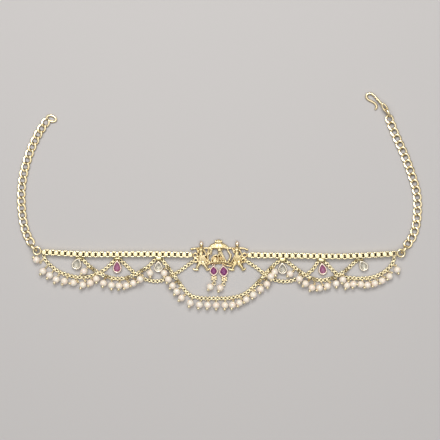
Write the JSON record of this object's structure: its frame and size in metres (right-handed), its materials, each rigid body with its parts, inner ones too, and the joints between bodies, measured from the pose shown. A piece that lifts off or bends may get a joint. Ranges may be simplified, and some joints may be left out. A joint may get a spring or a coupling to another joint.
{
  "type": "palanquin armlet with box chains, pearl swags, stone drops and hook chains",
  "caption": "Open upper-arm armlet: cast palanquin plaque between box chains, draped pearl swags, pear stones in bezels, curb chains and an S-hook.",
  "frame": {"origin": "centre of the palanquin plaque on its flat back, on the surface that the armlet lies on", "axes": "+X along the front from the left end ring to the right one, +Y across the arm space towards the open ends of the curb chains, +Z out of the plaque's face"},
  "size_m": [0.1668, 0.0899, 0.0046],
  "materials": {
    "plated_gold": "pale gold plate over brass, polished high spots and darker recesses",
    "setting_gold": "gold plate, a little warmer and darker on the bails and bezels",
    "pearl": "imitation pearl, creamy white with a faint pink lustre",
    "pink_stone": "faceted magenta glass, foil backed",
    "clear_stone": "faceted colourless glass, foil backed"
  },
  "bodies": {
    "root": {"palanquin_plaque": "plated_gold", "pendant_setting_left": "setting_gold", "pendant_stone_left": "pink_stone", "pendant_ring_left": "plated_gold", "pendant_pearl_left": "pearl", "pendant_setting_right": "setting_gold", "pendant_stone_right": "pink_stone", "pendant_ring_right": "plated_gold", "pendant_pearl_right": "pearl", "side_setting_1": "setting_gold", "side_stone_1": "clear_stone", "side_setting_2": "setting_gold", "side_stone_2": "pink_stone", "side_setting_3": "setting_gold", "side_stone_3": "clear_stone", "side_setting_4": "setting_gold", "side_stone_4": "clear_stone", "side_setting_5": "setting_gold", "side_stone_5": "pink_stone", "side_setting_6": "setting_gold", "side_stone_6": "clear_stone", "box_chain_left": "plated_gold", "end_ring_left": "plated_gold", "curb_chain_left": "plated_gold", "box_chain_right": "plated_gold", "end_ring_right": "plated_gold", "curb_chain_right": "plated_gold", "s_hook": "plated_gold", "swag_outer_left": "plated_gold", "swag_middle_left": "plated_gold", "swag_inner_left": "plated_gold", "swag_centre": "plated_gold", "swag_inner_right": "plated_gold", "swag_middle_right": "plated_gold", "swag_outer_right": "plated_gold"}
  },
  "joints": []
}
